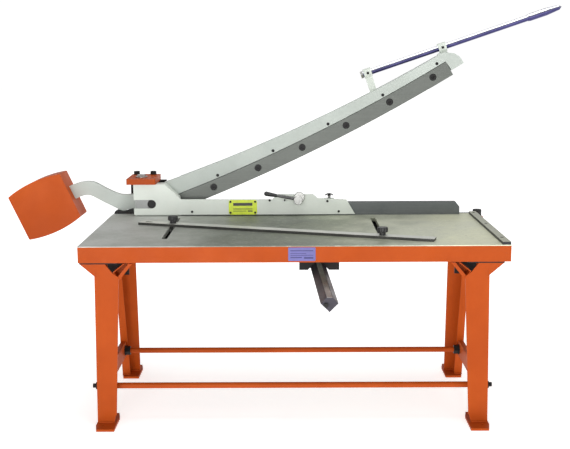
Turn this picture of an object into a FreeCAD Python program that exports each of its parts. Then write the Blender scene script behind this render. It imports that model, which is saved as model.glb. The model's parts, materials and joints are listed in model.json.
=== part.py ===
import FreeCAD, Part
import math
import os

# Hand-lever guillotine shear for sheet metal, on a steel stand.
#
# Everything is laid out from the table: X runs to the operator's right from the middle of
# the table, Y runs back from its front edge and Z runs up from its working surface.
# save() moves each piece to the part's own frame, whose origin is on the floor at the centre
# of the four floor-bolt holes. The cutting arm is drawn raised, against its stop.

# ---------------------------------------------------------------- driving dimensions (mm)
GAP = 0.3               # air between pieces that move past each other
FIT = 0.05              # radial clearance of a shaft in its bore

TABLE_W = 1400.0        # table, left to right
TABLE_D = 650.0         # table, front edge to cutting plane
TABLE_H = 620.0         # working surface above the floor
PLATE_T = 15.0          # table plate
LIP_T = 3.0             # upper part of the plate, which covers the apron's top edge
APRON_H = 55.0          # lower edge of the apron below the working surface
APRON_T = 6.0
FLANGE_D = 60.0         # inward flange of the apron
FLANGE_T = 5.0
SLOT_W = 19.0           # slots that guide the stop bar
SLOT_X = (-435.0, 297.0)
SLOT_FRONT = (125.0, 110.0)
SLOT_REAR = 543.0

BLADE_T = 16.0
LOWER_BLADE_T = 22.0
LOWER_BLADE_H = 58.0
LOWER_BLADE_X0 = -440.0
RAIL_Y0 = 606.0         # rail that carries the lower blade
RAIL_H = 70.0
SCREW_PITCH = 187.0     # screws of both blades
SCREW_R = 8.0
SCREW_HEAD_R = 12.0
BORE_R = 13.5           # counterbore of the blade screws

STAND_X = -8.0          # middle of the stand from the middle of the table
SHEET_T = 5.0           # pressed steel of the legs and rails
PAD_T = 6.0             # plate at the top of each pair of legs
FOOT_T = 8.0
FOOT_IN = 590.0         # foot plate, from the middle of the stand
FOOT_OUT = 657.5
FOOT_CUT = (8.0, 38.0)  # corners taken off it: across, along
FRONT_FOOT_Y = (-26.0, 126.0)
REAR_FOOT_Y = (508.0, 653.0)
FLOOR_HOLE_R = 5.0
FLOOR_HOLE_X = 634.0
FLOOR_HOLE_Y = (12.0, 568.0)
LEG_TOP = -APRON_H - PAD_T
FLOOR = -TABLE_H
FOOT_TOP = FLOOR + FOOT_T
FLARE_Z = -105.0        # where the flared head of the front leg ends
ROD_R = 10.0            # tie rods
ROD_Z = -495.0
FRONT_ROD_Y = 75.0
REAR_ROD_Y = 470.0
SIDE_RAIL_Z = (-523.0, -466.0)
SIDE_RAIL_X = (632.0, 650.0)
LIP_BACK = 88.5         # behind the front leg, where the side rail starts

BUFFER_TOP = 6.2        # rubber buffer under the closed arm
FENCE_T = 9.0           # side fence at the right edge of the table
FENCE_SCREW_X = 686.5
FENCE_SCREW_Y = (85.0, 350.0, 590.0)

PIVOT_X = -541.0        # pivot of the cutting arm
PIVOT_Z = 45.8
PIVOT_R = 16.4
BUSH_T = 4.0
HUB_R = 34.0

HEAD_Y0 = 592.0         # front plate of the head
HEAD_T = 12.0
HEAD_Y1 = HEAD_Y0 + HEAD_T
HEAD_X0 = -609.0
HEAD_Z0 = 4.5           # sheet passes under the plate
HEAD_TOP = 121.5
BACK_PLATE_Y = (724.0, 746.0)
CAP_X = (-634.5, -524.0)
CAP_Y = (585.0, 750.0)
CAP_T = 21.5
CAP_BOLT_X = (-616.0, -551.0)
CAP_WASHER_T = 5.0
PLATE_SCREW_R = 4.4     # heads of the front plate's screws
CORNER_X = (-698.0, -600.0)

CLAMP_X = (-430.0, 635.0)
CLAMP_Y = (HEAD_Y1 + GAP, 634.0)
CLAMP_Z = (0.5, 48.4)
LEVER_X = 21.3          # axis of the hold-down lever
LEVER_Z = 63.2
LEVER_TILT = 10.6       # lever above horizontal, degrees
LEVER_Y = 577.0
CAM_R = 12.1
CAM_OFFSET = 3.0
CAM_ANGLE = 230.0       # direction of the cam's offset from +X, clamped, degrees
LIFT_X = 137.0          # wing nut that holds the clamp bar up
LIFT_Y = 619.0

STOP_L = 1080.0         # stop bar on the table
STOP_W = 45.0
STOP_T = 9.0
STOP_ANGLE = -18.7      # degrees from X
STOP_CORNER = (-565.0, 400.0)

BLADE_R = 6557.0        # radius of the upper blade's back edge
BLADE_CENTRE = (-2805.0, 6193.0)
BLADE_SPAN = (20.52, 31.05)     # degrees about that centre, from straight down
BLADE_W = 56.0
BLADE_Y0 = TABLE_D + GAP
BLADE_Y1 = BLADE_Y0 + BLADE_T
WEB_T = 12.0            # arm's main plate, behind the blade
WEB_Y1 = BLADE_Y1 + WEB_T
RIB_Y1 = WEB_Y1 + 21.0
NECK_Y = (668.0, 692.0)

HANDLE_R = 11.0
HANDLE_ANGLE = 18.5     # handle above horizontal, degrees
HANDLE_Y = 680.0
HANDLE_START = (261.6, 527.3)
HANDLE_L = 792.0
GRIP_FROM = 658.5       # start of the grip along the handle

WEIGHT_CENTRE = (-958.6, 31.9)
WEIGHT_W = 222.0
WEIGHT_H = 181.0
WEIGHT_Y = (620.0, 740.0)
WEIGHT_TILT = 24.1      # degrees
WEIGHT_BULGE = 15.0     # rise of its curved top and bottom

GAUGE_SIDE = 40.0       # square gauge bar under the table, one edge up
GAUGE_FLAT = 10.0       # height taken off that edge
GAUGE_L = 740.0
GAUGE_END = (109.6, -134.0, -157.0)
GAUGE_YAW = 2.8
GAUGE_SLOPE = 1.8
HANGER_X = (19.0, 162.0)
HANGER_Y = (320.0, 455.0)
HANGER_T = 8.0
HANGER_Z = -152.0

ORIGIN_Y = (FLOOR_HOLE_Y[0] + FLOOR_HOLE_Y[1]) / 2
TO_PART_FRAME = FreeCAD.Vector(-STAND_X, -ORIGIN_Y, TABLE_H)
X_AXIS = FreeCAD.Vector(1, 0, 0)
Y_AXIS = FreeCAD.Vector(0, 1, 0)
Z_AXIS = FreeCAD.Vector(0, 0, 1)

os.makedirs("parts", exist_ok=True)


# ---------------------------------------------------------------- helpers
def vec(x, y, z):
    return FreeCAD.Vector(x, y, z)


def box(x, y, z):
    """Box from pairs of limits."""
    return Part.makeBox(x[1] - x[0], y[1] - y[0], z[1] - z[0], vec(x[0], y[0], z[0]))


def rod(centre, direction, r, start, end):
    """Cylinder through centre, between two distances along direction."""
    unit = vec(*direction).normalize()
    return Part.makeCylinder(r, end - start, centre + unit * start, unit)


def rod_y(x, z, r, y0, y1):
    return Part.makeCylinder(r, y1 - y0, vec(x, y0, z), Y_AXIS)


def rod_z(x, y, r, z0, z1):
    return Part.makeCylinder(r, z1 - z0, vec(x, y, z0), Z_AXIS)


def spun(shape, degrees, centre, axis=Y_AXIS):
    copy = shape.copy()
    copy.rotate(centre, axis, degrees)
    return copy


def shifted(shape, x, y, z):
    copy = shape.copy()
    copy.translate(vec(x, y, z))
    return copy


def other_side(shape):
    """Mirror image of a piece of the stand."""
    return shape.mirror(vec(STAND_X, 0, 0), X_AXIS)


def arc(a, b, c):
    points = [vec(p[0], 0, p[1]) for p in (a, b, c)]
    return Part.Arc(*points).toShape()


def line(a, b):
    return Part.LineSegment(vec(a[0], 0, a[1]), vec(b[0], 0, b[1])).toShape()


def curve(points):
    spline = Part.BSplineCurve()
    spline.interpolate([vec(x, 0, z) for x, z in points])
    return spline.toShape()


def path(points):
    return [line(a, b) for a, b in zip(points, points[1:])]


def plate_xz(edges, y0, y1):
    """Upright plate from the edges of its outline."""
    face = Part.Face(Part.Wire(Part.__sortEdges__(edges)))
    face.translate(vec(0, y0, 0))
    return face.extrude(vec(0, y1 - y0, 0))


def polygon_xz(points, y0, y1):
    return plate_xz(path(points + points[:1]), y0, y1)


def polygon_yz(points, x0, x1):
    corners = [vec(x0, y, z) for y, z in points]
    return Part.Face(Part.makePolygon(corners + corners[:1])).extrude(vec(x1 - x0, 0, 0))


def rounded(shape, r, axis):
    """Shape with its edges along an axis rounded."""
    edges = [e for e in shape.Edges if abs(e.tangentAt(e.FirstParameter).dot(axis)) > 0.99]
    return shape.makeFillet(r, edges)


def slot_z(x, y0, y1, width, z0, z1):
    """Round-ended slot along Y."""
    r = width / 2
    middle = box((x - r, x + r), (y0 + r, y1 - r), (z0, z1))
    return middle.fuse([rod_z(x, y0 + r, r, z0, z1), rod_z(x, y1 - r, r, z0, z1)])


def hexagon(across, height, base, direction):
    """Hexagonal prism with its outer corners turned down."""
    r = across / math.sqrt(3)
    turn = FreeCAD.Rotation(Z_AXIS, direction)
    angles = [math.radians(60 * i + 30) for i in range(7)]
    corners = [base + turn.multVec(vec(r * math.cos(a), r * math.sin(a), 0)) for a in angles]
    prism = Part.Face(Part.makePolygon(corners)).extrude(direction * height)
    skirt = Part.makeCylinder(r, 0.8 * height, base, direction)
    crown = Part.makeCone(r, 0.88 * r, 0.2 * height, base + direction * (0.8 * height), direction)
    return prism.common(skirt.fuse(crown))


def hex_bolt(r, length, seat, direction, across):
    """Hex bolt whose head stands on seat along direction."""
    shank = Part.makeCylinder(r, length, seat, direction * -1.0)
    return shank.fuse(hexagon(across, 1.2 * r, seat, direction)).removeSplitter()


def cap_screw(r, length, top, direction, head_r, head_h):
    """Socket-head screw whose head ends at top."""
    seat = top - direction * head_h
    head = Part.makeCylinder(head_r, head_h, seat, direction)
    shank = Part.makeCylinder(r, length, seat, direction * -1.0)
    socket = hexagon(0.95 * head_r, 0.6 * head_h, top, direction * -1.0)
    return shank.fuse(head).removeSplitter().cut(socket)


def screw_space(r, length, top, direction, bore_r, head_h):
    """Space taken by a recessed cap screw, open at the surface."""
    seat = top - direction * head_h
    bore = Part.makeCylinder(bore_r, head_h + 2 * BORE_R, seat, direction)
    return bore.fuse(Part.makeCylinder(r, length, seat, direction * -1.0))


def cut_all(shape, tools):
    for tool in tools:
        shape = shape.cut(tool)
    return shape


def group(shapes):
    return Part.makeCompound(shapes)


def save(name, shape):
    placed = shape.copy()
    placed.translate(TO_PART_FRAME)
    placed.exportStep("parts/%s.step" % name)


# ---------------------------------------------------------------- stand
def channel(top, bottom):
    """Pressed channel of a leg, lofted between two plan sections.

    A section is (z, outer x, inner x of the wide flange, inner x of the lip, y of the
    flange's face, y of the lip's face), with x from the middle of the stand.
    """
    wires = []
    for z, outer, wide, lip, y_wide, y_lip in (top, bottom):
        t = math.copysign(SHEET_T, y_lip - y_wide)
        plan = [(outer, y_wide), (wide, y_wide), (wide, y_wide + t),
                (outer - SHEET_T, y_wide + t), (outer - SHEET_T, y_lip - t),
                (lip, y_lip - t), (lip, y_lip), (outer, y_lip)]
        corners = [vec(STAND_X + x, y, z) for x, y in plan]
        wires.append(Part.makePolygon(corners + corners[:1]))
    return Part.makeLoft(wires, True, True)


def stand_plate(points, y0, y1):
    return polygon_xz([(STAND_X + x, z) for x, z in points], y0, y1)


def front_leg():
    """Front leg, its wide flange in front, with a flared head under the table."""
    leg = channel((LEG_TOP, 642.0, 561.5, 608.0, 12.0, 66.0),
                  (FOOT_TOP, 656.0, 592.5, 624.0, 38.0, 86.0))
    notch = stand_plate([(608.0, LEG_TOP + 1), (584.0, -92.0), (566.0, FLARE_Z), (550.0, FLARE_Z),
                         (550.0, LEG_TOP + 1)], 0.0, 40.0)
    corner = stand_plate([(586.0, FOOT_TOP + 25), (594.0, FOOT_TOP + 25), (600.0, FOOT_TOP - 1),
                          (586.0, FOOT_TOP - 1)], 30.0, 50.0)
    flare = stand_plate([(639.0, FLARE_Z), (690.0, LEG_TOP), (639.0, LEG_TOP)], 12.5, 17.5)
    return leg.cut(notch).cut(corner).fuse(flare).removeSplitter()


def rear_leg():
    """Rear leg, the front leg's section turned round: wide flange at the back."""
    return channel((LEG_TOP, 642.0, 573.0, 622.0, 420.0, 360.0),
                   (FOOT_TOP, 656.0, 595.0, 626.0, 588.0, 534.0))


def knee_brace():
    """Channel from the front leg up to the apron, open to the front."""
    band = stand_plate([(584.0, -90.0), (562.0, -116.0), (518.0, LEG_TOP), (547.0, LEG_TOP)],
                       17.0, 62.0)
    pocket = stand_plate([(580.0, -91.0), (568.0, -105.0), (530.5, LEG_TOP + 1),
                          (541.5, LEG_TOP + 1)], 10.0, 57.0)
    return band.cut(pocket)


def top_pad():
    pad = box((STAND_X + 570.0, STAND_X + 690.0), (10.0, 430.0), (LEG_TOP, LEG_TOP + PAD_T))
    window = box((STAND_X + 590.0, STAND_X + 660.0), (160.0, 340.0), (LEG_TOP - 1, 0.0))
    crosspiece = box((STAND_X + 552.0, STAND_X + 640.0), (150.0, 155.0), (-128.0, LEG_TOP))
    return pad.cut(window).fuse(crosspiece).removeSplitter()


def foot_plate(hole_y, limits):
    """Floor plate with its outer front and inner rear corners cut off."""
    across, along = FOOT_CUT
    inner, outer = STAND_X + FOOT_IN, STAND_X + FOOT_OUT
    front, rear = limits
    outline = [(inner, front), (outer - across, front), (outer, front + along), (outer, rear),
               (inner + across, rear), (inner, rear - along)]
    corners = [vec(x, y, FLOOR) for x, y in outline]
    plate = Part.Face(Part.makePolygon(corners + corners[:1])).extrude(Z_AXIS * FOOT_T)
    return plate.cut(rod_z(STAND_X + FLOOR_HOLE_X, hole_y, FLOOR_HOLE_R, FLOOR - 1, FOOT_TOP + 1))


def side_rail():
    """Channel between the legs of one side, web inward."""
    z0, z1 = SIDE_RAIL_Z
    inner, outer = SIDE_RAIL_X
    length = (84.0, 560.0)
    bar = box((STAND_X + inner, STAND_X + outer), length, SIDE_RAIL_Z)
    hollow = box((STAND_X + inner + SHEET_T, STAND_X + outer + 1), length,
                 (z0 + SHEET_T, z1 - SHEET_T))
    before = box((STAND_X + inner - 1, STAND_X + outer + 1), (0.0, LIP_BACK), (z0 - 1, z1 + 1))
    behind = polygon_yz([(360.0, LEG_TOP), (534.0, FOOT_TOP), (700.0, FOOT_TOP), (700.0, LEG_TOP)],
                        STAND_X + inner - 1, STAND_X + outer + 1)
    return cut_all(bar, [hollow, before, behind])


def tie_rods():
    front_end = 649.5
    front = rod(vec(STAND_X, FRONT_ROD_Y, ROD_Z), (1, 0, 0), ROD_R, -645.0, 645.0)
    studs = [rod(vec(STAND_X, FRONT_ROD_Y, ROD_Z), (1, 0, 0), 7.5, -674.0, -645.0),
             rod(vec(STAND_X, FRONT_ROD_Y, ROD_Z), (1, 0, 0), 7.5, 645.0, 674.0)]
    front = front.fuse(studs).removeSplitter()
    inner = SIDE_RAIL_X[0]
    rear = rod(vec(STAND_X, REAR_ROD_Y, ROD_Z), (1, 0, 0), ROD_R, -inner - 14.0, inner + 14.0)
    nuts = []
    for side in (-1.0, 1.0):
        out = X_AXIS * side
        front_seat = vec(STAND_X + side * (front_end + 1.5), FRONT_ROD_Y, ROD_Z)
        nuts.append(hexagon(23.0, 13.0, front_seat, out))
        rear_seat = vec(STAND_X + side * inner, REAR_ROD_Y, ROD_Z)
        nuts.append(hexagon(30.0, 18.0, rear_seat - out * 3.0, out * -1.0))
        nuts.append(Part.makeCylinder(19.0, 3.0, rear_seat - out * 3.0, out))
    nuts = [cut_all(nut, [front, rear]) for nut in nuts]
    return front, rear, nuts


def build_stand():
    front_rod, rear_rod, nuts = tie_rods()
    front = cut_all(front_leg(), [front_rod, other_side(front_rod)] + nuts)
    rear = rear_leg()
    rail = side_rail().cut(rear_rod)
    brace = knee_brace().cut(top_pad()).cut(front)
    for name, piece in (("front_legs", front), ("rear_legs", rear), ("side_rails", rail),
                        ("knee_braces", brace), ("top_pads", top_pad())):
        save(name, group([piece, other_side(piece)]))
    feet = [foot_plate(y, limits) for y, limits in zip(FLOOR_HOLE_Y, (FRONT_FOOT_Y, REAR_FOOT_Y))]
    save("foot_plates", group(feet + [other_side(foot) for foot in feet]))
    save("tie_rods", group([front_rod, rear_rod]))
    save("tie_rod_nuts", group(nuts))


# ---------------------------------------------------------------- table
def blade_screw_x():
    """Places of the lower blade's screws."""
    last = TABLE_W / 2 - 70.0
    return [last - SCREW_PITCH * i for i in range(6)]


def fence_screws():
    return [cap_screw(4.0, 14.0, vec(FENCE_SCREW_X, y, FENCE_T), Z_AXIS, 6.5, 4.5)
            for y in FENCE_SCREW_Y]


def slot_channel(x, y0):
    """Closed channel under a table slot, in which a stop-bar bolt's head slides."""
    z0 = -PLATE_T - 16.0
    y_limits = (y0 - 12.0, SLOT_REAR + 12.0)
    channel_bar = box((x - 22.0, x + 22.0), y_limits, (z0, -PLATE_T))
    inside = box((x - 18.0, x + 18.0), (y0 - 8.0, SLOT_REAR + 8.0), (z0 + 4.0, -PLATE_T + 1))
    return channel_bar.cut(inside)


def build_table():
    half = TABLE_W / 2
    lower = box((-half + APRON_T, half - APRON_T), (APRON_T, TABLE_D), (-PLATE_T, -LIP_T))
    upper = box((-half, half), (0.0, TABLE_D), (-LIP_T, 0.0))
    front_edges = [e for e in upper.Edges if e.BoundBox.YMax < 1.0 and e.BoundBox.ZMin > -1.0]
    upper = upper.makeChamfer(1.2, front_edges)
    plate = lower.fuse(upper).removeSplitter()
    blade_y0 = TABLE_D - LOWER_BLADE_T
    plate = plate.cut(box((LOWER_BLADE_X0, half + 1), (blade_y0, TABLE_D + 1), (-20.0, 1.0)))
    for x, y0 in zip(SLOT_X, SLOT_FRONT):
        plate = plate.cut(slot_z(x, y0, SLOT_REAR, SLOT_W, -20.0, 1.0))

    blade = box((LOWER_BLADE_X0, half), (blade_y0, TABLE_D), (-LOWER_BLADE_H, 0.0))
    rail = box((-half + APRON_T, half - APRON_T), (RAIL_Y0, blade_y0), (-PLATE_T - RAIL_H, -PLATE_T))
    screws = []
    for x in blade_screw_x():
        top = vec(x, TABLE_D - 2.0, -31.0)
        screws.append(cap_screw(SCREW_R, 30.0, top, Y_AXIS, SCREW_HEAD_R, 12.0))
        space = screw_space(SCREW_R, 30.0, top, Y_AXIS, BORE_R, 12.0)
        blade = blade.cut(space)
        rail = rail.cut(space)

    apron = box((-half, half), (0.0, APRON_T), (-APRON_H, -LIP_T))
    flange = box((-half, half), (APRON_T, FLANGE_D), (-APRON_H, -APRON_H + FLANGE_T))
    front = apron.fuse(flange).removeSplitter()
    sides = []
    for side, rear in ((-1.0, TABLE_D), (1.0, blade_y0)):
        x_out = sorted((side * half, side * (half - APRON_T)))
        x_in = sorted((side * (half - APRON_T), side * (half - FLANGE_D)))
        wall = box(x_out, (APRON_T, rear), (-APRON_H, -LIP_T))
        wall = wall.cut(box(x_out, (0.0, FLANGE_D), (-APRON_H, -APRON_H + FLANGE_T)))
        ledge = box(x_in, (FLANGE_D, RAIL_Y0), (-APRON_H, -APRON_H + FLANGE_T))
        sides.append(wall.fuse(ledge).removeSplitter())
    screw_holes = fence_screws()
    plate = cut_all(plate, screw_holes)
    fence = rounded(box((673.0, half), (5.0, 620.0), (0.0, FENCE_T)), 2.0, Z_AXIS)
    for y in FENCE_SCREW_Y:
        fence = fence.cut(rod_z(FENCE_SCREW_X, y, 6.5, FENCE_T - 4.5, FENCE_T + 1))
        fence = fence.cut(rod_z(FENCE_SCREW_X, y, 4.0, -1.0, FENCE_T))
    label = rounded(box((-19.0, 69.0), (-1.2, 0.0), (-50.0, -5.5)), 3.0, Y_AXIS)

    save("table_plate", plate)
    save("front_apron", front)
    save("side_aprons", group(sides))
    save("blade_rail", rail)
    save("lower_blade", blade)
    save("table_screws", group(screws + screw_holes))
    save("side_fence", fence)
    save("slot_channels", group([slot_channel(x, y) for x, y in zip(SLOT_X, SLOT_FRONT)]))
    save("rating_plate", label)


def build_buffer():
    """Rubber buffer that the closed arm comes down on, and its bracket."""
    edge = TABLE_W / 2
    wall = box((edge, edge + 6.0), (560.0, 708.0), (-50.0, -20.0))
    shelf = box((edge, edge + 38.0), (664.0, 708.0), (-26.0, -20.0))
    rubber = rod_z(edge + 18.0, 686.0, 17.0, -20.0, BUFFER_TOP)
    rubber = rubber.makeFillet(2.5, [e for e in rubber.Edges if e.BoundBox.ZMin > BUFFER_TOP - 0.1])
    save("buffer_bracket", wall.fuse(shelf).removeSplitter())
    save("buffer", rubber)


build_stand()
build_table()
build_buffer()


# ---------------------------------------------------------------- head
def build_head():
    y0, y1 = HEAD_Y0, HEAD_Y1
    slot_r = PIVOT_R + 0.1
    outline = [(HEAD_X0, HEAD_Z0), (HEAD_X0, HEAD_TOP), (-490.0, HEAD_TOP), (-428.0, 63.0),
               (-81.0, 62.0), (-59.0, 81.5), (76.0, 81.0), (92.6, 66.0), (202.5, 60.0),
               (235.0, HEAD_Z0)]
    plate = polygon_xz(outline, y0, y1)
    slot = box((HEAD_X0 - 1, PIVOT_X), (y0 - 1, y1 + 1), (PIVOT_Z - slot_r, PIVOT_Z + slot_r))
    plate = plate.cut(slot).cut(rod_y(PIVOT_X, PIVOT_Z, slot_r, y0 - 1, y1 + 1))
    insert = box((HEAD_X0 + 5, PIVOT_X - 10), (y0 + 1, y1), (PIVOT_Z - slot_r, PIVOT_Z + slot_r))
    insert = insert.cut(rod_y(PIVOT_X, PIVOT_Z, slot_r, y0, y1 + 1))

    block = polygon_xz([(HEAD_X0 + 4, 0.0), (HEAD_X0 + 4, HEAD_TOP), (-490.0, HEAD_TOP),
                        (-437.0, 69.0), (-437.0, 0.0)], y1, TABLE_D)
    block = block.cut(rod_y(PIVOT_X, PIVOT_Z, PIVOT_R, y1 - 1, TABLE_D + 1))
    back = box((-640.0, -500.0), BACK_PLATE_Y, (-60.0, HEAD_TOP))
    back = back.cut(rod_y(PIVOT_X, PIVOT_Z, PIVOT_R, BACK_PLATE_Y[0] - 1, BACK_PLATE_Y[1] + 1))
    corner = box(CORNER_X, (TABLE_D, BACK_PLATE_Y[0]), (-60.0, -3.0))
    cap = rounded(box(CAP_X, CAP_Y, (HEAD_TOP, HEAD_TOP + CAP_T)), 3.0, Z_AXIS)
    spacer = box((-539.0, -521.0), (BACK_PLATE_Y[0] - 20.0, BACK_PLATE_Y[1]),
                 (HEAD_TOP - 14.0, HEAD_TOP))
    back = back.cut(spacer)
    shaft = rod_y(PIVOT_X, PIVOT_Z, PIVOT_R, y0 + 0.5, BACK_PLATE_Y[1] + 4.0)
    shaft = shaft.makeChamfer(1.5, [shaft.Edges[0], shaft.Edges[2]])

    cap_top = HEAD_TOP + CAP_T
    bolt_y = (BACK_PLATE_Y[0] + BACK_PLATE_Y[1]) / 2
    seat = cap_top + CAP_WASHER_T
    bolts = [hex_bolt(7.0, 44.0, vec(x, bolt_y, seat), Z_AXIS, 22.0) for x in CAP_BOLT_X]
    bolts = [bolt.fuse(rod_z(x, bolt_y, 12.0, cap_top, seat)).removeSplitter()
             for bolt, x in zip(bolts, CAP_BOLT_X)]
    nut_x, nut_y = (-585.0, 650.0)
    nut = rod_z(nut_x, nut_y, 23.0, cap_top, cap_top + 3.5)
    nut = nut.fuse(hexagon(30.0, 7.0, vec(nut_x, nut_y, cap_top + 3.5), Z_AXIS)).removeSplitter()
    cap = cut_all(cap, bolts)
    back = cut_all(back, bolts)
    spacer = cut_all(spacer, bolts)

    plate_screws = []
    for x, z in ((-387.0, 16.0), (-90.6, 59.0), (129.3, 55.0), (172.6, 15.3)):
        face = vec(x, y0 - 2.5, z)
        plate_screws.append(cap_screw(3.0, HEAD_T, face, Y_AXIS * -1.0, PLATE_SCREW_R, 2.5))
    stop_pin = rod_y(-33.3, 60.4, 3.0, y0 - 16.0, y1)
    lever_bore = rod_y(LEVER_X, LEVER_Z, 12.0 + FIT, y0 - 1, y1 + 1)
    plate = cut_all(plate, plate_screws + [stop_pin, lever_bore])

    name_plate = rounded(box((-247.0, -139.0), (y0 - 1.5, y0), (HEAD_Z0, 61.0)), 9.0, Y_AXIS)
    corners = [(x, z) for x in (-240.0, -146.0) for z in (12.0, 54.0)]
    tacks = [rod_y(x, z, 4.0, y0 - 3.0, y0 + 6.0) for x, z in corners]
    name_plate = cut_all(name_plate, tacks)
    plate = cut_all(plate, tacks)

    outline = [(-698.0, -3.0), (-694.0, 8.0), (-684.0, 13.5), (-671.0, 9.0), (-660.0, 7.6), (-652.0, 8.2),
               (-641.0, 12.5), (-628.0, 15.5), (-616.0, 16.0), (-612.0, -3.0)]
    stop = polygon_xz(outline, 653.0, 694.0)

    save("front_plate", plate)
    save("pivot_insert", insert)
    save("head_block", block)
    save("back_plate", back)
    save("corner_block", corner)
    save("cap_plate", cap)
    save("cap_spacer", spacer)
    save("cap_bolts", group(bolts))
    save("cap_nut", nut)
    save("pivot_shaft", shaft)
    save("plate_screws", group(plate_screws + tacks))
    save("lever_stop_pin", stop_pin)
    save("name_plate", name_plate)
    save("arm_stop", stop)


# ---------------------------------------------------------------- hold-down
def build_hold_down():
    left, right = CLAMP_X
    low, high = CLAMP_Z
    bar = polygon_xz([(left, low), (left, high), (right - 15.0, high), (right, 29.0), (right, low)],
                     CLAMP_Y[0], CLAMP_Y[1])
    stud = rod_z(LIFT_X, LIFT_Y, 4.0, high - 20.0, 81.0)
    bar = bar.cut(rod_z(LIFT_X, LIFT_Y, 4.0, high - 20.0, high + 1))
    bracket = box((LIFT_X - 18.0, LIFT_X + 18.0), (HEAD_Y1, CLAMP_Y[1]), (59.0, 62.0))
    bracket = bracket.cut(rod_z(LIFT_X, LIFT_Y, 4.0 + 0.5, 50.0, 70.0))
    right_half = [(0.0, 82.0), (8.0, 80.5), (15.5, 76.0), (17.0, 72.5), (13.5, 73.5), (7.0, 76.5),
                  (0.0, 77.5)]
    left_half = [(-x, z) for x, z in right_half[-2:0:-1]]
    wings = polygon_xz([(LIFT_X + x, z) for x, z in right_half + left_half], LIFT_Y - 4.0, LIFT_Y + 4.0)
    wing_nut = rod_z(LIFT_X, LIFT_Y, 6.5, 72.0, 79.0).fuse(wings).removeSplitter()
    wing_nut = wing_nut.cut(rod_z(LIFT_X, LIFT_Y, 4.0, 60.0, 90.0))
    spring = rod_z(LIFT_X, LIFT_Y, 6.0, 62.0, 72.0).cut(rod_z(LIFT_X, LIFT_Y, 4.6, 60.0, 80.0))

    axis = vec(LEVER_X, 0, LEVER_Z)
    hub = rod_y(LEVER_X - 3.5, LEVER_Z - 1.5, 17.0, LEVER_Y - 11.0, HEAD_Y0 - GAP)
    hub = hub.makeChamfer(1.5, [e for e in hub.Edges if e.BoundBox.YMax < LEVER_Y - 10.0])
    boss = rod_y(LEVER_X + 1.0, LEVER_Z + 9.5, 19.0, LEVER_Y - 4.0, HEAD_Y0 - GAP)
    boss = boss.makeChamfer(1.0, [e for e in boss.Edges if e.BoundBox.YMax < LEVER_Y - 3.0])
    shaft = rod_y(LEVER_X, LEVER_Z, 12.0, HEAD_Y0 - GAP, HEAD_Y1 + GAP)
    tilt = math.radians(CAM_ANGLE)
    cam = rod_y(LEVER_X + CAM_OFFSET * math.cos(tilt), LEVER_Z + CAM_OFFSET * math.sin(tilt), CAM_R,
                HEAD_Y1 + GAP, CLAMP_Y[1] - 6.0)
    eccentric = hub.fuse([boss, shaft, cam]).removeSplitter()
    out = vec(-math.cos(math.radians(LEVER_TILT)), 0, math.sin(math.radians(LEVER_TILT)))
    hub_centre = axis + vec(0, LEVER_Y - 1.0, 0)
    lever = Part.makeCylinder(5.5, 92.0, hub_centre + out * 8.0, out)
    grip = Part.makeCone(6.5, 9.0, 40.0, hub_centre + out * 86.0, out)
    knob_end = Part.makeSphere(9.0, hub_centre + out * 126.0)
    grip = grip.fuse(knob_end).removeSplitter().cut(lever)
    eccentric = eccentric.cut(lever)

    save("clamp_bar", bar)
    save("lift_stud", stud)
    save("lift_bracket", bracket)
    save("wing_nut", wing_nut)
    save("lift_spring", spring)
    save("eccentric", eccentric)
    save("lever_rod", lever)
    save("lever_grip", grip)


# ---------------------------------------------------------------- cutting arm
def on_blade(r, degrees):
    """Point at a radius and angle about the upper blade's centre of curvature."""
    a = math.radians(degrees)
    return (BLADE_CENTRE[0] + r * math.sin(a), BLADE_CENTRE[1] - r * math.cos(a))


def span_degrees(length, r=BLADE_R):
    return math.degrees(length / r)


def blade_band(r0, r1, start, end, y0, y1):
    """Curved band between two radii about the blade's centre."""
    middle = (start + end) / 2
    inner = [on_blade(r0, d) for d in (start, middle, end)]
    outer = [on_blade(r1, d) for d in (start, middle, end)]
    edges = [arc(*inner), line(inner[2], outer[2]), arc(*outer), line(outer[0], inner[0])]
    return plate_xz(edges, y0, y1)


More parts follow.
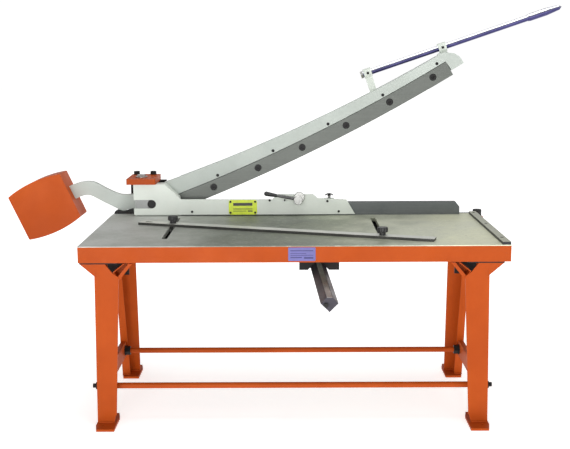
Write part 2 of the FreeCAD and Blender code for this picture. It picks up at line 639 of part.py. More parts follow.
def arm_body():
    """Casting: main plate, rib over the blade, rear ribs, hub and neck."""
    start, end = BLADE_SPAN
    low = BLADE_R + BLADE_W - 8.0
    top = [(-495.5, 123.4), (33.4, 335.5), (543.8, 596.2)]
    hump = [(550.0, 606.0), (575.0, 611.0), (609.5, 607.0), (630.0, 594.0), (645.0, 571.0)]
    low_near = on_blade(low, start)
    low_mid = on_blade(low, (start + end) / 2)
    low_far = on_blade(low, end)
    shoulder = (PIVOT_X - 20.0, PIVOT_Z + 36.0)
    edges = [line(shoulder, top[0]), arc(*top)]
    edges += path([top[2]] + hump + [(599.5, 544.0), low_far])
    edges += [arc(low_near, low_mid, low_far)]
    edges += path([low_near, (PIVOT_X + 20.0, PIVOT_Z - 36.0), shoulder])
    plate = plate_xz(edges, BLADE_Y1, WEB_Y1)

    near = on_blade(BLADE_R - 2.0, start + 0.12)
    mid = on_blade(BLADE_R - 2.0, (start + end) / 2)
    far = on_blade(BLADE_R - 2.0, end)
    rib_edges = [line(near, top[0]), arc(*top), arc(near, mid, far)]
    rib_edges += path([top[2]] + hump + [(599.5, 544.0), (595.0, 552.0), far])
    rib = plate_xz(rib_edges, BLADE_Y0 + 0.5, BLADE_Y1)

    rear = []
    rear.append(blade_band(BLADE_R + 36.0, low, start + 0.9, end, WEB_Y1, RIB_Y1))
    top_arc = arc(*top)
    lowered = shifted(top_arc, 4.0, 0.0, -11.0)
    ends = [top_arc.Vertexes[0].Point, top_arc.Vertexes[-1].Point]
    drops = [lowered.Vertexes[0].Point, lowered.Vertexes[-1].Point]
    strip = [top_arc, lowered]
    strip += [Part.LineSegment(a, b).toShape() for a, b in zip(ends, drops)]
    left_of_head = box((-600.0, -440.0), (600.0, 800.0), (-50.0, 300.0))
    rear.append(plate_xz(strip, WEB_Y1, RIB_Y1).cut(left_of_head))
    for step in range(5):
        d = start + 1.2 + step * (end - start - 1.6) / 4
        rear.append(blade_band(BLADE_R - 30.0, BLADE_R + 40.0, d, d + 0.09, WEB_Y1, RIB_Y1))
    hub = rod_y(PIVOT_X, PIVOT_Z, HUB_R, BLADE_Y0 + 2.0, BACK_PLATE_Y[0] - GAP)
    return plate.fuse([rib, hub] + rear)


def neck():
    top = [(-560.0, 82.0), (-600.0, 77.0), (-627.0, 74.0), (-647.0, 72.5), (-669.0, 73.5),
           (-692.0, 80.5), (-720.0, 93.6), (-743.0, 106.0), (-771.0, 121.0), (-799.0, 125.3),
           (-830.0, 121.0), (-872.0, 106.0)]
    bottom = [(-560.0, 8.0), (-600.0, 15.0), (-627.0, 18.3), (-641.0, 15.3), (-660.0, 9.4),
              (-686.0, 17.5), (-714.5, 32.0), (-743.0, 46.5), (-771.0, 62.0), (-794.0, 71.0),
              (-820.0, 68.0), (-850.0, 56.0)]
    edges = [curve(top), curve(bottom), line(top[0], bottom[0]), line(top[-1], bottom[-1])]
    return plate_xz(edges, NECK_Y[0], NECK_Y[1])


def build_arm():
    bore = rod_y(PIVOT_X, PIVOT_Z, PIVOT_R + BUSH_T, 600.0, 750.0)
    casting = arm_body().fuse(neck()).removeSplitter().cut(bore)
    bush = rod_y(PIVOT_X, PIVOT_Z, PIVOT_R + BUSH_T, BLADE_Y0 + 2.0, BACK_PLATE_Y[0] - GAP)
    bush = bush.cut(rod_y(PIVOT_X, PIVOT_Z, PIVOT_R + FIT, 600.0, 750.0))

    start, end = BLADE_SPAN
    blade = blade_band(BLADE_R, BLADE_R + BLADE_W, start, end, BLADE_Y0, BLADE_Y1)
    screws = []
    for i in range(6):
        x, z = on_blade(BLADE_R + 25.0, end - span_degrees(70.0 + SCREW_PITCH * i, BLADE_R + 25.0))
        face = vec(x, BLADE_Y0 + 1.5, z)
        screws.append(cap_screw(SCREW_R, 18.0, face, Y_AXIS * -1.0, SCREW_HEAD_R, 12.0))
        space = screw_space(SCREW_R, 18.0, face, Y_AXIS * -1.0, BORE_R, 12.0)
        blade = blade.cut(space)
        casting = casting.cut(space)
    set_screws = []
    for i in range(5):
        x, z = on_blade(BLADE_R - 11.0, end - span_degrees(32.0 + 234.0 * i, BLADE_R - 11.0))
        y = BLADE_Y0 + 0.5
        screw = rod_y(x, z, 6.0, y + 1.0, y + 14.0)
        socket = hexagon(6.0, 5.0, vec(x, y + 1.0, z), Y_AXIS)
        set_screws.append(screw.cut(socket))
        casting = casting.cut(rod_y(x, z, 6.0, y - 1.0, y + 14.0))

    tilt = math.radians(HANDLE_ANGLE)
    along = vec(math.cos(tilt), 0, math.sin(tilt))
    origin = vec(HANDLE_START[0], HANDLE_Y, HANDLE_START[1])
    handle = Part.makeCylinder(HANDLE_R, GRIP_FROM - 6.0, origin + along * 6.0, along)
    nut = hexagon(26.0, 9.0, origin - along * 3.0, along)
    grip_l = HANDLE_L - GRIP_FROM
    profile = [(0.0, 0.0), (12.5, 0.0), (14.0, 8.0), (14.0, 0.55 * grip_l), (9.0, 0.92 * grip_l),
               (0.0, grip_l)]
    turn = FreeCAD.Rotation(Z_AXIS, along)
    ring = Part.makePolygon([vec(r, 0, h) for r, h in profile + profile[:1]])
    grip = Part.Face(ring).revolve(vec(0, 0, 0), Z_AXIS, 360)
    grip = grip.removeSplitter()
    grip.Placement = FreeCAD.Placement(origin + along * GRIP_FROM, turn)
    collars = []
    for distance, reach in ((24.0, 78.0), (321.0, 24.0)):
        centre = origin + along * distance
        clamp = Part.makeCylinder(HANDLE_R + 7.0, 30.0, centre - along * 15.0, along)
        stem = Part.makeBox(26.0, 20.0, reach, vec(-13.0, -10.0, -reach))
        stem.rotate(vec(0, 0, 0), Y_AXIS, -HANDLE_ANGLE)
        stem.translate(centre)
        collars.append(clamp.fuse(stem).removeSplitter().cut(handle))
    collars = [cut_all(collar, [casting, nut]) for collar in collars]
    clamp_screws = []
    for distance in (24.0, 321.0):
        centre = origin + along * distance
        face = centre - Y_AXIS * (HANDLE_R + 8.5)
        clamp_screws.append(cap_screw(3.0, 4.0, face, Y_AXIS * -1.0, 5.0, 4.0))
    collars = [cut_all(collar, clamp_screws) for collar in collars]
    collars = [max(collar.Solids, key=lambda solid: solid.Volume) for collar in collars]

    save("arm_casting", casting)
    save("pivot_bush", bush)
    save("upper_blade", blade)
    save("upper_blade_screws", group(screws))
    save("blade_set_screws", group(set_screws))
    save("handle_rod", handle)
    save("handle_nut", nut.cut(handle))
    save("handle_grip", grip)
    save("handle_collars", group(collars))
    save("collar_screws", group(clamp_screws))


def build_weight():
    x, z = WEIGHT_CENTRE
    w, h = WEIGHT_W / 2, WEIGHT_H / 2
    top = [(x - w, z + h), (x, z + h + WEIGHT_BULGE), (x + w, z + h)]
    bottom = [(x - w, z - h), (x, z - h - WEIGHT_BULGE), (x + w, z - h)]
    edges = [arc(*top), arc(*bottom), line(top[0], bottom[0]), line(top[2], bottom[2])]
    block = plate_xz(edges, WEIGHT_Y[0], WEIGHT_Y[1])
    block = spun(rounded(block, 5.0, Y_AXIS), -WEIGHT_TILT, vec(x, 0, z))
    block = block.cut(neck())
    save("counterweight", block)


# ---------------------------------------------------------------- stop bar
def build_stop_bar():
    """Bar that squares the sheet, held by two knobs in the table's slots."""
    a = math.radians(STOP_ANGLE)
    corner = vec(STOP_CORNER[0], STOP_CORNER[1], 0)
    bar = box((0.0, STOP_L), (0.0, STOP_W), (GAP, GAP + STOP_T))
    bar = rounded(bar, 2.0, Z_AXIS)
    bar.rotate(vec(0, 0, 0), Z_AXIS, STOP_ANGLE)
    bar.translate(corner)
    end_slot = slot_z(STOP_W / 2, -48.0, -20.0, 8.0, -1.0, 20.0)
    end_slot.rotate(vec(0, 0, 0), Z_AXIS, 90.0)
    end_slot.rotate(vec(0, 0, 0), Z_AXIS, STOP_ANGLE)
    end_slot.translate(corner)
    bar = bar.cut(end_slot)
    top = GAP + STOP_T
    bolts = []
    for name, x in zip(("left", "right"), SLOT_X):
        along = (x - STOP_CORNER[0] + math.sin(a) * STOP_W / 2) / math.cos(a)
        y = STOP_CORNER[1] + along * math.sin(a) + math.cos(a) * STOP_W / 2
        stud = rod_z(x, y, 5.0, -PLATE_T - GAP, top + 14.0)
        head = box((x - 14.0, x + 14.0), (y - 9.0, y + 9.0), (-PLATE_T - GAP - 7.0, -PLATE_T - GAP))
        bolts.append(stud.fuse(head).removeSplitter())
        bar = bar.cut(rod_z(x, y, 5.0, -30.0, 40.0))
        base = rod_z(x, y, 11.0, top + GAP, top + 10.0)
        dome = rod_z(x, y, 18.0, top + 10.0, top + 27.0)
        dome = dome.makeFillet(4.0, dome.Edges[0:1] + dome.Edges[2:3])
        knob = base.fuse(dome)
        for i in range(8):
            turn = math.radians(45.0 * i + 22.5)
            flute_x = x + 20.5 * math.cos(turn)
            flute_y = y + 20.5 * math.sin(turn)
            knob = knob.cut(rod_z(flute_x, flute_y, 4.5, top + 9.0, top + 28.0))
        knob = knob.cut(rod_z(x, y, 5.0 + FIT, top, top + 14.5))
        save(name + "_knob", knob)
    save("stop_bar", bar)
    save("stop_bar_bolts", group(bolts))


# ---------------------------------------------------------------- gauge bar
def gauge_prism(side, start, end, flat):
    """Square bar on edge, along its own tilted axis, with its upper edge taken off."""
    prism = Part.makeBox(side, end - start, side, vec(-side / 2, start, -side / 2))
    prism = spun(prism, 45.0, vec(0, 0, 0))
    top = side / math.sqrt(2)
    prism = prism.cut(Part.makeBox(side, end - start + 2, side, vec(-side / 2, start - 1, top - flat)))
    prism.rotate(vec(0, 0, 0), X_AXIS, GAUGE_SLOPE)
    prism.rotate(vec(0, 0, 0), Z_AXIS, GAUGE_YAW)
    prism.translate(vec(*GAUGE_END))
    return prism


def build_gauge():
    bar = gauge_prism(GAUGE_SIDE, 0.0, GAUGE_L, GAUGE_FLAT)
    clearance = gauge_prism(GAUGE_SIDE + 2 * GAP + 0.2, -10.0, GAUGE_L + 10.0, GAUGE_FLAT)
    flat_z = GAUGE_SIDE / math.sqrt(2) - GAUGE_FLAT
    strip = Part.makeBox(17.0, GAUGE_L - 4.0, 1.0, vec(-8.5, 2.0, flat_z))
    strip.rotate(vec(0, 0, 0), X_AXIS, GAUGE_SLOPE)
    strip.rotate(vec(0, 0, 0), Z_AXIS, GAUGE_YAW)
    strip.translate(vec(*GAUGE_END))
    screw_x, screw_z = GAUGE_END[0] - 11.0, GAUGE_END[2] - 4.5
    screw = rod(vec(screw_x, GAUGE_END[1] - 1.0, screw_z), (0, -1, 0), 7.0, -3.0, 9.0)
    screw = screw.cut(bar)
    middle = sum(HANGER_X) / 2
    hangers = []
    straps = []
    for y in HANGER_Y:
        rise = (y - GAUGE_END[1]) * math.tan(math.radians(GAUGE_SLOPE))
        z = GAUGE_END[2] + rise
        plate = box(HANGER_X, (y, y + HANGER_T), (HANGER_Z, -PLATE_T))
        x = GAUGE_END[0] - (y - GAUGE_END[1]) * math.tan(math.radians(GAUGE_YAW))
        room = polygon_xz([(x - 60.0, z - 32.0), (x, z + 28.5), (x + 60.0, z - 32.0)],
                          y - 1, y + HANGER_T + 1)
        slot = box((x - 10.5, x + 10.5), (y - 1, y + HANGER_T + 1), (z, z + 21.0))
        hangers.append(plate.cut(room).cut(clearance).cut(slot))
        reach = GAUGE_SIDE / math.sqrt(2)
        v_outer = polygon_xz([(x - 52.0, z + 12.0), (x - 52.0, z - 1.0), (x - 31.0, z - 1.0),
                              (x, z - reach - 7.0), (x + 31.0, z - 1.0), (x + 52.0, z - 1.0),
                              (x + 52.0, z + 12.0)], y + HANGER_T, y + HANGER_T + 22.0)
        v_inner = polygon_xz([(x - 47.0, z + 13.0), (x - 47.0, z + 3.5), (x - 28.5, z + 3.5),
                              (x, z - reach - 1.0), (x + 28.5, z + 3.5), (x + 47.0, z + 3.5),
                              (x + 47.0, z + 13.0)], y + HANGER_T - 1, y + HANGER_T + 23.0)
        straps.append(v_outer.cut(v_inner).cut(clearance))
    save("gauge_bar", bar)
    save("gauge_scale", strip)
    save("gauge_end_screw", screw)
    save("gauge_hangers", group(hangers + straps))


build_head()
build_hold_down()
build_arm()
build_weight()
build_stop_bar()
build_gauge()
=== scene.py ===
import json
import math

import bpy
from mathutils import Matrix, Vector


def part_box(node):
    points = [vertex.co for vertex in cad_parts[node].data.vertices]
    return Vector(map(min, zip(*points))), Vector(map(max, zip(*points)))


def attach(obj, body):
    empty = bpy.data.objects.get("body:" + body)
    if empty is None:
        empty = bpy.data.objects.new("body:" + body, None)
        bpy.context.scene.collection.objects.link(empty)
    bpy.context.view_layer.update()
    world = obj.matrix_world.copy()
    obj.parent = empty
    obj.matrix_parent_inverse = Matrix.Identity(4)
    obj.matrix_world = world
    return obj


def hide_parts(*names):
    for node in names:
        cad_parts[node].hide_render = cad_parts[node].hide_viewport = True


# Looks of a hand-lever guillotine shear: materials for the CAD nodes, a few fine pieces,
# a pale studio and the camera. Lengths are in metres.

CAMERA_PLACE = (-0.0016, -3.3565, 1.2315)
CAMERA_DOWN = 10.02         # degrees
CAMERA_TURN = -0.36
CAMERA_ROLL = -0.31
CAMERA_LENS = 61.31         # mm on a 36 mm sensor
EDGE_SOFTENING = 0.0008
SPRING_TURNS = 4
SPRING_SEGMENTS = 16        # in each turn
SPRING_WIRE = 0.0009
WELD_R = 0.0026
WELD_SEGMENTS = 40
WELD_Z = 0.0086             # just above the foot plate's top
WELD_RIPPLE = 0.0004
WELD_WAVES = 17
FRONT_WELD_Y = -0.2545      # front face of the leg, at its foot
REAR_LIP_WELD_Y = 0.2415
REAR_FLANGE_WELD_Y = 0.2905
ROD_THREAD_X = 0.640        # unpainted ends of the tie rods
HORIZON_LEVEL = 1.02        # brightness of the studio wall, and of the dimmer ceiling
ZENITH_LEVEL = 0.18
WALL_FADE = (0.20, 0.50)    # height of the view direction where the wall starts and ends fading
FLOOR_HALF_SIZE = 30.0
FLOOR_GLOW = (0.62, 1.0)    # emission near the machine, and far from it
FLOOR_GLOW_REACH = (0.9, 2.4)
LAMP_TARGET = (0.0, 0.1, 0.6)
LAMPS = (                   # name, place, size, power in watts
    ("key", (-0.9, -4.2, 0.5), 2.2, 105.0),
    ("fill", (2.2, -3.6, 0.6), 2.0, 22.0),
    ("top", (0.3, 0.0, 3.6), 2.6, 62.0),
)


# ---------------------------------------------------------------- node helpers
class Shader:
    """Builds one procedural material."""

    def __init__(self, name):
        self.material = bpy.data.materials.new(name)
        self.material.use_nodes = True
        self.nodes = self.material.node_tree.nodes
        self.links = self.material.node_tree.links
        self.bsdf = self.nodes["Principled BSDF"]
        coordinates = self.nodes.new("ShaderNodeTexCoord")
        self.place = coordinates.outputs["Object"]
        self.normal = coordinates.outputs["Normal"]

    def set(self, **values):
        for name, value in values.items():
            self.bsdf.inputs[name.replace("_", " ")].default_value = value

    def link(self, output, socket):
        self.links.new(output, self.bsdf.inputs[socket])

    def stretched(self, x, y, z):
        mapping = self.nodes.new("ShaderNodeMapping")
        mapping.inputs["Scale"].default_value = (x, y, z)
        self.links.new(self.place, mapping.inputs["Vector"])
        return mapping.outputs["Vector"]

    def noise(self, scale, detail=4.0, roughness=0.55, vector=None):
        node = self.nodes.new("ShaderNodeTexNoise")
        node.inputs["Scale"].default_value = scale
        node.inputs["Detail"].default_value = detail
        node.inputs["Roughness"].default_value = roughness
        self.links.new(vector or self.place, node.inputs["Vector"])
        return node.outputs["Fac"]

    def ramp(self, fac, stops):
        node = self.nodes.new("ShaderNodeValToRGB")
        elements = node.color_ramp.elements
        while len(elements) < len(stops):
            elements.new(0.5)
        for element, (position, color) in zip(elements, stops):
            element.position = position
            element.color = (*color, 1.0)
        self.links.new(fac, node.inputs["Fac"])
        return node.outputs["Color"]

    def span(self, fac, low, high, start=0.3, end=0.7):
        """Value from low to high as fac goes from start to end."""
        node = self.nodes.new("ShaderNodeMapRange")
        node.inputs["From Min"].default_value = start
        node.inputs["From Max"].default_value = end
        node.inputs["To Min"].default_value = low
        node.inputs["To Max"].default_value = high
        self.links.new(fac, node.inputs["Value"])
        return node.outputs["Result"]

    def blend(self, fac, a, b):
        """Colour that goes from a to b as fac goes from 0 to 1."""
        node = self.nodes.new("ShaderNodeMix")
        node.data_type = "RGBA"
        for socket, value in ((node.inputs[0], fac), (node.inputs[6], a), (node.inputs[7], b)):
            if isinstance(value, (int, float)):
                socket.default_value = value
            elif isinstance(value, tuple):
                socket.default_value = (*value, 1.0)
            else:
                self.links.new(value, socket)
        return node.outputs[2]

    def math(self, kind, a, b=0.0):
        node = self.nodes.new("ShaderNodeMath")
        node.operation = kind
        for socket, value in zip(node.inputs, (a, b)):
            if isinstance(value, (int, float)):
                socket.default_value = value
            else:
                self.links.new(value, socket)
        return node.outputs["Value"]

    def axis(self, index, vector=None):
        node = self.nodes.new("ShaderNodeSeparateXYZ")
        self.links.new(vector or self.place, node.inputs[0])
        return node.outputs[index]

    def bump(self, height, strength, distance, below=None):
        node = self.nodes.new("ShaderNodeBump")
        node.inputs["Strength"].default_value = strength
        node.inputs["Distance"].default_value = distance
        self.links.new(height, node.inputs["Height"])
        if below:
            self.links.new(below, node.inputs["Normal"])
        return node.outputs["Normal"]


# ---------------------------------------------------------------- materials
def paint(name, base, dark, light, roughness, bare_beyond=None):
    """Sprayed machine paint: orange peel, cloudy tone, dark specks, maybe bare ends along x."""
    s = Shader(name)
    cloud = s.noise(5.0, 5.0, 0.6)
    tone = s.ramp(cloud, [(0.30, dark), (0.52, base), (0.75, light)])
    specks = s.noise(140.0, 3.0, 0.7)
    tone = s.blend(s.span(specks, 0.0, 0.10, 0.62, 0.78), tone, tuple(0.55 * c for c in base))
    if bare_beyond:
        ends = s.math("GREATER_THAN", s.math("ABSOLUTE", s.axis(0)), bare_beyond)
        tone = s.blend(ends, tone, (0.012, 0.012, 0.012))
    s.link(tone, "Base Color")
    s.link(s.span(s.noise(11.0, 6.0), roughness - 0.07, roughness + 0.12), "Roughness")
    peel = s.bump(s.noise(420.0, 2.0, 0.4), 0.10, 0.0006)
    s.link(s.bump(s.noise(28.0, 4.0), 0.10, 0.0015, peel), "Normal")
    s.set(Coat_Weight=0.02, Coat_Roughness=0.18, Specular_IOR_Level=0.10)
    return s.material


def ground_table():
    """Ground cast table: grinding lines, overlapping swirls, bright glints painted into the colour as
    painted highlights, and a green-grey tone that changes from left to right.
    """
    s = Shader("ground_table")
    lines = s.noise(1.0, 6.0, 0.75, s.stretched(9.0, 520.0, 60.0))
    patches = s.noise(3.1, 8.0, 0.68)
    drift = s.math("ADD", s.axis(0), s.span(patches, -0.22, 0.22))
    # green-grey tone across the table: light at the left edge, dark in the middle, lightest at the right
    left_to_right = s.span(drift, 0.0, 1.0, -0.69, 0.71)
    tone_across = s.ramp(left_to_right, [(0.00, (0.60, 0.61, 0.59)), (0.22, (0.38, 0.395, 0.36)),
                          (0.43, (0.155, 0.175, 0.145)), (0.60, (0.32, 0.35, 0.26)),
                          (0.78, (0.68, 0.70, 0.56)), (1.00, (0.84, 0.85, 0.63))])
    swirl_warp = s.noise(7.0, 5.0, 0.7)
    swirl = s.nodes.new("ShaderNodeTexVoronoi")
    swirl.inputs["Scale"].default_value = 16.0
    s.links.new(s.place, swirl.inputs["Vector"])
    arcs = s.math("MULTIPLY", s.math("ADD", swirl.outputs["Distance"], swirl_warp), 120.0)
    rings = s.math("SINE", arcs)
    tone = s.blend(s.span(lines, 0.0, 0.35), tone_across, (0.20, 0.21, 0.175))
    tone = s.blend(s.span(rings, 0.0, 0.12, -1.0, 1.0), tone, (0.60, 0.61, 0.50))
    fine = s.noise(75.0, 5.0, 0.75)
    tone = s.blend(s.span(fine, 0.0, 0.30, 0.52, 0.75), tone, (0.17, 0.17, 0.13))
    # painted highlights: bright glints put into the base colour, more of them towards the right
    glints = s.noise(1.0, 4.0, 0.8, s.stretched(48.0, 120.0, 60.0))
    glint_share = s.math("MULTIPLY", s.span(glints, 0.0, 0.75, 0.56, 0.70), left_to_right)
    tone = s.blend(glint_share, tone, (0.86, 0.87, 0.68))
    s.link(tone, "Base Color")
    s.link(s.span(patches, 0.40, 0.58), "Roughness")
    s.link(s.bump(lines, 0.16, 0.0005, s.bump(rings, 0.04, 0.0004)), "Normal")
    s.set(Metallic=0.35, Specular_IOR_Level=0.35)
    return s.material


def flat_bar(name, ground, scale, roughness):
    """Bar ground on its top face only; its other faces are dark, as painted shade."""
    s = Shader(name)
    up = s.span(s.axis(2, s.normal), 0.0, 1.0, 0.55, 0.85)
    lines = s.noise(1.0, 5.0, 0.7, s.stretched(30.0, 300.0, 300.0))
    smudge = s.noise(12.0, 6.0, 0.65)
    top = s.ramp(smudge, [(0.28, tuple(0.75 * c for c in ground)), (0.74, ground)])
    top = s.blend(s.span(lines, 0.0, 0.30), top, tuple(0.55 * c for c in ground))
    # painted shade: scale gives the dark colour of every face but the top
    dark, light = tuple(0.6 * c for c in scale), tuple(1.5 * c for c in scale)
    shaded_sides = s.ramp(smudge, [(0.30, dark), (0.75, light)])
    s.link(s.blend(up, shaded_sides, top), "Base Color")
    s.link(s.span(smudge, roughness - 0.06, roughness + 0.14), "Roughness")
    s.link(s.bump(lines, 0.12, 0.0004), "Normal")
    s.set(Metallic=0.45)
    return s.material


def ground_steel(name, dark, light, roughness, lines_along="x", metallic=0.85):
    """Ground steel with lines along one axis, smudges and a few deeper scratches."""
    s = Shader(name)
    scales = {"x": (5.0, 420.0, 420.0), "y": (420.0, 5.0, 420.0), "z": (420.0, 420.0, 5.0)}
    lines = s.noise(1.0, 5.0, 0.7, s.stretched(*scales[lines_along]))
    smudge = s.noise(9.0, 6.0, 0.65)
    middle = tuple((a + b) / 2 for a, b in zip(dark, light))
    tone = s.ramp(smudge, [(0.28, dark), (0.50, middle), (0.74, light)])
    tone = s.blend(s.span(lines, 0.0, 0.35), tone, tuple(0.7 * c for c in dark))
    pits = s.noise(230.0, 3.0, 0.8)
    tone = s.blend(s.span(pits, 0.0, 0.30, 0.60, 0.75), tone, tuple(0.45 * c for c in dark))
    s.link(tone, "Base Color")
    s.link(s.span(smudge, roughness - 0.08, roughness + 0.14), "Roughness")
    s.link(s.bump(lines, 0.12, 0.0004), "Normal")
    s.set(Metallic=metallic)
    return s.material


def blackened(name="blackened_steel"):
    s = Shader(name)
    cloud = s.noise(60.0, 5.0, 0.6)
    tone = s.ramp(cloud, [(0.3, (0.005, 0.005, 0.006)), (0.7, (0.018, 0.017, 0.016))])
    s.link(tone, "Base Color")
    s.link(s.span(cloud, 0.38, 0.56), "Roughness")
    s.link(s.bump(s.noise(700.0, 2.0), 0.12, 0.0003), "Normal")
    s.set(Metallic=0.3, Specular_IOR_Level=0.35)
    return s.material


def moulded(name, color, grain, roughness):
    """Moulded plastic or rubber with a fine grain."""
    s = Shader(name)
    cloud = s.noise(35.0, 4.0)
    dark, light = tuple(0.7 * c for c in color), tuple(1.4 * c for c in color)
    s.link(s.ramp(cloud, [(0.3, dark), (0.7, light)]), "Base Color")
    s.link(s.span(cloud, roughness - 0.05, roughness + 0.08), "Roughness")
    s.link(s.bump(s.noise(grain, 3.0), 0.25, 0.0004), "Normal")
    return s.material


def chrome():
    """Chromed rod with its reflection painted into the colour: bright on top, darker and bluish
    underneath.
    """
    s = Shader("chrome")
    smear = s.noise(24.0, 5.0, 0.6, s.stretched(1.0, 4.0, 1.0))
    # painted reflection: a lit colour for upward faces and a shaded bluish colour for downward faces,
    # chosen by the normal
    bright = s.ramp(smear, [(0.3, (0.62, 0.63, 0.70)), (0.7, (0.86, 0.87, 0.92))])
    below = s.ramp(smear, [(0.3, (0.035, 0.033, 0.10)), (0.7, (0.075, 0.07, 0.19))])
    s.link(s.blend(s.span(s.axis(2, s.normal), 0.0, 1.0, 0.05, 0.50), below, bright), "Base Color")
    s.link(s.span(smear, 0.10, 0.20), "Roughness")
    s.set(Metallic=0.85)
    return s.material


def brass():
    s = Shader("bearing_bronze")
    smear = s.noise(80.0, 5.0)
    s.link(s.ramp(smear, [(0.3, (0.42, 0.27, 0.09)), (0.7, (0.68, 0.48, 0.20))]), "Base Color")
    s.link(s.span(smear, 0.25, 0.42), "Roughness")
    s.set(Metallic=1.0)
    return s.material


def printed_plate(name, node, base, ink, bars):
    """Printed plate with plain bars and blocks, faintly scuffed."""
    s = Shader(name)
    low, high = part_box(node)
    u = s.math("DIVIDE", s.math("SUBTRACT", s.axis(0), low[0]), high[0] - low[0])
    v = s.math("DIVIDE", s.math("SUBTRACT", s.axis(2), low[2]), high[2] - low[2])

    def inside(value, a, b):
        return s.math("MULTIPLY", s.math("GREATER_THAN", value, a), s.math("LESS_THAN", value, b))

    print_mask = 0.0
    for u0, u1, v0, v1 in bars:
        bar = s.math("MULTIPLY", inside(u, u0, u1), inside(v, v0, v1))
        print_mask = s.math("MAXIMUM", print_mask, bar)
    cloud = s.noise(40.0, 5.0)
    field_color = s.ramp(cloud, [(0.3, tuple(0.80 * c for c in base)), (0.7, base)])
    s.link(s.blend(print_mask, field_color, ink), "Base Color")
    s.link(s.span(cloud, 0.28, 0.42), "Roughness")
    return s.material


def scale_strip():
    """Light strip with fine graduations along the gauge bar."""
    s = Shader("scale_strip")
    along = s.math("MULTIPLY", s.axis(1), 200.0)
    tick = s.math("LESS_THAN", s.math("FRACT", along), 0.16)
    cloud = s.noise(30.0, 5.0)
    tone = s.ramp(cloud, [(0.3, (0.46, 0.46, 0.45)), (0.7, (0.62, 0.62, 0.60))])
    s.link(s.blend(tick, tone, (0.08, 0.08, 0.08)), "Base Color")
    s.link(s.span(cloud, 0.3, 0.45), "Roughness")
    s.set(Metallic=0.5)
    return s.material


def make_materials():
    """One material for each slot of the record, and for five nodes that have their own look; the arm's
    and the front plate's are a shaded and a lit copy of the grey-green paint.
    """
    orange = ((0.42, 0.067, 0.0075), (0.38, 0.058, 0.0060), (0.47, 0.080, 0.0100), 0.46)
    return {
        "orange_paint": paint("orange_paint", *orange),
        # painted light and shade: the arm and the front plate carry a darker and a lighter copy of the
        # grey-green paint below, not a different paint
        "arm_casting": paint("arm_paint_shaded_copy", (0.47, 0.51, 0.475), (0.43, 0.465, 0.43),
                             (0.52, 0.56, 0.52), 0.40),
        "front_plate": paint("plate_paint_lit_copy", (0.70, 0.74, 0.68), (0.64, 0.68, 0.62),
                             (0.76, 0.80, 0.74), 0.38),
        "tie_rods": paint("rod_paint", *orange, bare_beyond=ROD_THREAD_X),
        "pivot_insert": ground_steel("pivot_face", (0.20, 0.205, 0.20), (0.33, 0.34, 0.33),
                                     0.42, "z", 0.6),
        "lever_rod": ground_steel("lever_steel", (0.06, 0.06, 0.06), (0.18, 0.18, 0.18),
                                  0.32, "x", 0.8),
        "grey_paint": paint("grey_green_paint", (0.56, 0.60, 0.545), (0.51, 0.55, 0.50),
                            (0.61, 0.65, 0.59), 0.38),
        # painted shade: this black stands in for the deep shade that falls on the parts it is used on
        "black_paint": paint("black_paint", (0.022, 0.020, 0.020), (0.014, 0.013, 0.013),
                             (0.034, 0.031, 0.030), 0.50),
        "ground_steel_table": ground_table(),
        "blade_steel": ground_steel("blade_steel", (0.105, 0.114, 0.103), (0.175, 0.185, 0.17), 0.48,
                                    metallic=0.6),
        "clamp_steel": ground_steel("clamp_steel", (0.095, 0.105, 0.105), (0.165, 0.175, 0.175), 0.45),
        "bar_steel": flat_bar("drawn_bar_steel", (0.78, 0.79, 0.72), (0.045, 0.045, 0.040), 0.40),
        "fence_steel": flat_bar("fence_steel", (0.52, 0.53, 0.42), (0.022, 0.022, 0.026), 0.42),
        "dark_steel": ground_steel("dark_gauge_steel", (0.030, 0.027, 0.036), (0.085, 0.078, 0.095),
                                   0.38, "y", 0.6),
        "bright_steel": ground_steel("machined_steel", (0.30, 0.30, 0.29), (0.52, 0.52, 0.50),
                                     0.30, "z", 0.9),
        "black_screws": blackened(),
        "black_plastic": moulded("black_plastic", (0.014, 0.014, 0.015), 900.0, 0.36),
        "buffer_rubber": moulded("buffer_rubber", (0.012, 0.012, 0.012), 500.0, 0.62),
        "chrome_rod": chrome(),
        "brass": brass(),
        "scale_metal": scale_strip(),
        "name_plate": printed_plate("name_plate_print", "name_plate", (0.70, 0.84, 0.03),
                                    (0.03, 0.03, 0.02),
                                    [(0.16, 0.84, 0.60, 0.80), (0.16, 0.84, 0.36, 0.41),
                                     (0.16, 0.62, 0.22, 0.26), (0.68, 0.84, 0.20, 0.28)]),
        "rating_plate": printed_plate("rating_plate_print", "rating_plate", (0.12, 0.11, 0.36),
                                      (0.025, 0.02, 0.14),
                                      [(0.08, 0.92, 0.72, 0.80), (0.08, 0.66, 0.54, 0.59),
                                       (0.08, 0.92, 0.40, 0.45), (0.08, 0.50, 0.22, 0.30),
                                       (0.58, 0.92, 0.16, 0.30)]),
    }


def dress_nodes(frame, materials):
    slots = {row["node"]: row["material_slot"] for row in frame["record"]["subparts"]}
    for name, node in frame["nodes"].items():
        material = materials.get(name, materials[slots[name]])
        if not node.material_slots:
            node.data.materials.append(material)
        for slot in node.material_slots:
            slot.material = material
        soften = node.modifiers.new("edges", "BEVEL")
        soften.width = EDGE_SOFTENING
        soften.segments = 2
        soften.limit_method = "ANGLE"
        soften.angle_limit = math.radians(35.0)
        soften.harden_normals = True


# ---------------------------------------------------------------- fine pieces
def tube(name, points, radius, material, body):
    curve = bpy.data.curves.new(name, "CURVE")
    curve.dimensions = "3D"
    curve.bevel_depth = radius
    curve.bevel_resolution = 3
    curve.use_fill_caps = True
    spline = curve.splines.new("POLY")
    spline.points.add(len(points) - 1)
    for point, place in zip(spline.points, points):
        point.co = (*place, 1.0)
    piece = bpy.data.objects.new(name, curve)
    bpy.context.collection.objects.link(piece)
    curve.materials.append(material)
    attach(piece, body)
    return piece


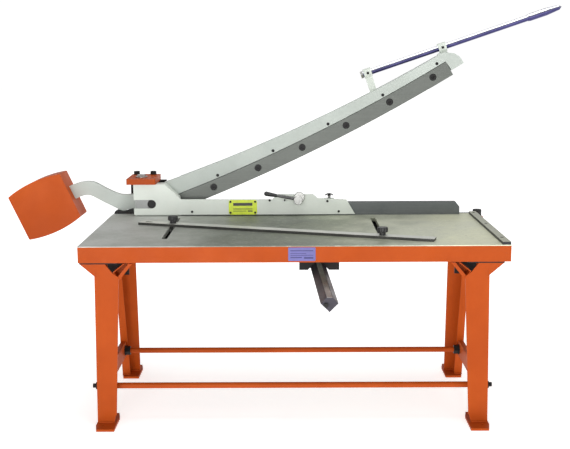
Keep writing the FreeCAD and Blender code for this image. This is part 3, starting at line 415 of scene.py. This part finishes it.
def coil_spring(materials):
    low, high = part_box("lift_spring")
    x, y = (low[0] + high[0]) / 2, (low[1] + high[1]) / 2
    radius = (high[0] - low[0]) / 2 - SPRING_WIRE
    z0, z1 = low[2] + SPRING_WIRE, high[2] - SPRING_WIRE
    steps = SPRING_TURNS * SPRING_SEGMENTS
    points = []
    for i in range(steps + 1):
        t = i / steps
        turn = 2 * math.pi * SPRING_TURNS * t
        points.append((x + radius * math.cos(turn), y + radius * math.sin(turn), z0 + (z1 - z0) * t))
    spring = tube("coil_spring", points, SPRING_WIRE, materials["bright_steel"],
                  "clamp_foot")
    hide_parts("lift_spring")


def weld_beads(materials):
    """Rippled fillet welds where the flanges of each leg meet its foot."""
    beads = (("front", FRONT_WELD_Y, 0.600, 0.655), ("rear_lip", REAR_LIP_WELD_Y, 0.627, 0.655),
             ("rear_flange", REAR_FLANGE_WELD_Y, 0.597, 0.651))
    for side, hand in ((-1.0, "left"), (1.0, "right")):
        for name, y, x0, x1 in beads:
            points = []
            for i in range(WELD_SEGMENTS + 1):
                t = i / WELD_SEGMENTS
                ripple = WELD_RIPPLE * math.sin(t * WELD_WAVES * 2 * math.pi)
                points.append((side * (x0 + (x1 - x0) * t), y + ripple, WELD_Z + ripple))
            tube("weld_%s_%s" % (name, hand), points, WELD_R, materials["orange_paint"],
                 "stand")


# ---------------------------------------------------------------- studio
def floor_piece():
    """Pale floor, lit near the machine and glowing white far from it."""
    mesh = bpy.data.meshes.new("floor")
    half = FLOOR_HALF_SIZE
    corners = [(-half, -half, 0), (half, -half, 0), (half, half, 0), (-half, half, 0)]
    mesh.from_pydata(corners, [], [(0, 1, 2, 3)])
    floor = bpy.data.objects.new("floor", mesh)
    bpy.context.collection.objects.link(floor)
    s = Shader("pale_floor")
    s.link(s.ramp(s.noise(1.5), [(0.3, (0.88, 0.88, 0.88)), (0.7, (0.92, 0.92, 0.92))]), "Base Color")
    length = s.nodes.new("ShaderNodeVectorMath")
    length.operation = "LENGTH"
    s.links.new(s.place, length.inputs[0])
    s.link(s.span(length.outputs["Value"], *FLOOR_GLOW, *FLOOR_GLOW_REACH), "Emission Strength")
    s.set(Roughness=0.9, Specular_IOR_Level=0.1, Emission_Color=(1.0, 1.0, 1.0, 1.0))
    mesh.materials.append(s.material)


def studio():
    scene = bpy.context.scene
    scene.view_settings.view_transform = "Standard"
    floor_piece()
    world = bpy.data.worlds.new("studio")
    scene.world = world
    world.use_nodes = True
    nodes, links = world.node_tree.nodes, world.node_tree.links
    direction = nodes.new("ShaderNodeTexCoord").outputs["Generated"]
    height = nodes.new("ShaderNodeSeparateXYZ")
    links.new(direction, height.inputs[0])
    level = nodes.new("ShaderNodeMapRange")
    level.inputs["From Min"].default_value = WALL_FADE[0]
    level.inputs["From Max"].default_value = WALL_FADE[1]
    level.inputs["To Min"].default_value = HORIZON_LEVEL
    level.inputs["To Max"].default_value = ZENITH_LEVEL
    links.new(height.outputs["Z"], level.inputs["Value"])
    links.new(level.outputs["Result"], nodes["Background"].inputs["Strength"])
    nodes["Background"].inputs["Color"].default_value = (1.0, 1.0, 1.0, 1.0)
    for name, place, size, power in LAMPS:
        data = bpy.data.lights.new(name, "AREA")
        data.size = size
        data.energy = power
        lamp = bpy.data.objects.new(name, data)
        lamp.location = place
        aim = Vector(LAMP_TARGET) - Vector(place)
        lamp.rotation_euler = aim.to_track_quat("-Z", "Y").to_euler()
        bpy.context.collection.objects.link(lamp)


def camera():
    down, turn, roll = (math.radians(a) for a in (CAMERA_DOWN, CAMERA_TURN, CAMERA_ROLL))
    forward = Vector((math.sin(turn) * math.cos(down), math.cos(turn) * math.cos(down), -math.sin(down)))
    right = Vector((math.cos(turn), -math.sin(turn), 0.0))
    up = right.cross(forward)
    rolled_right = right * math.cos(roll) + up * math.sin(roll)
    rolled_up = up * math.cos(roll) - right * math.sin(roll)
    rotation = Matrix((rolled_right, rolled_up, -forward)).transposed().to_4x4()
    data = bpy.data.cameras.new("camera")
    data.lens = CAMERA_LENS
    data.sensor_width = 36.0
    data.clip_end = 60.0
    view = bpy.data.objects.new("camera", data)
    view.matrix_world = Matrix.Translation(CAMERA_PLACE) @ rotation
    bpy.context.collection.objects.link(view)
    bpy.context.scene.camera = view


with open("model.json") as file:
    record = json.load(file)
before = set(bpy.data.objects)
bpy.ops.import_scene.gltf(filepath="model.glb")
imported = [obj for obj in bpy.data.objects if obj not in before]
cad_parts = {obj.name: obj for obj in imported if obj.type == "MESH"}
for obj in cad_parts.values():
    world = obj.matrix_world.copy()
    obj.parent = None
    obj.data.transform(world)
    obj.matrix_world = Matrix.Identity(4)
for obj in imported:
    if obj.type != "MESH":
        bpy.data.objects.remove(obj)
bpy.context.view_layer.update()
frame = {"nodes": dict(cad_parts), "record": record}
materials = make_materials()
dress_nodes(frame, materials)
coil_spring(materials)
weld_beads(materials)
studio()
camera()
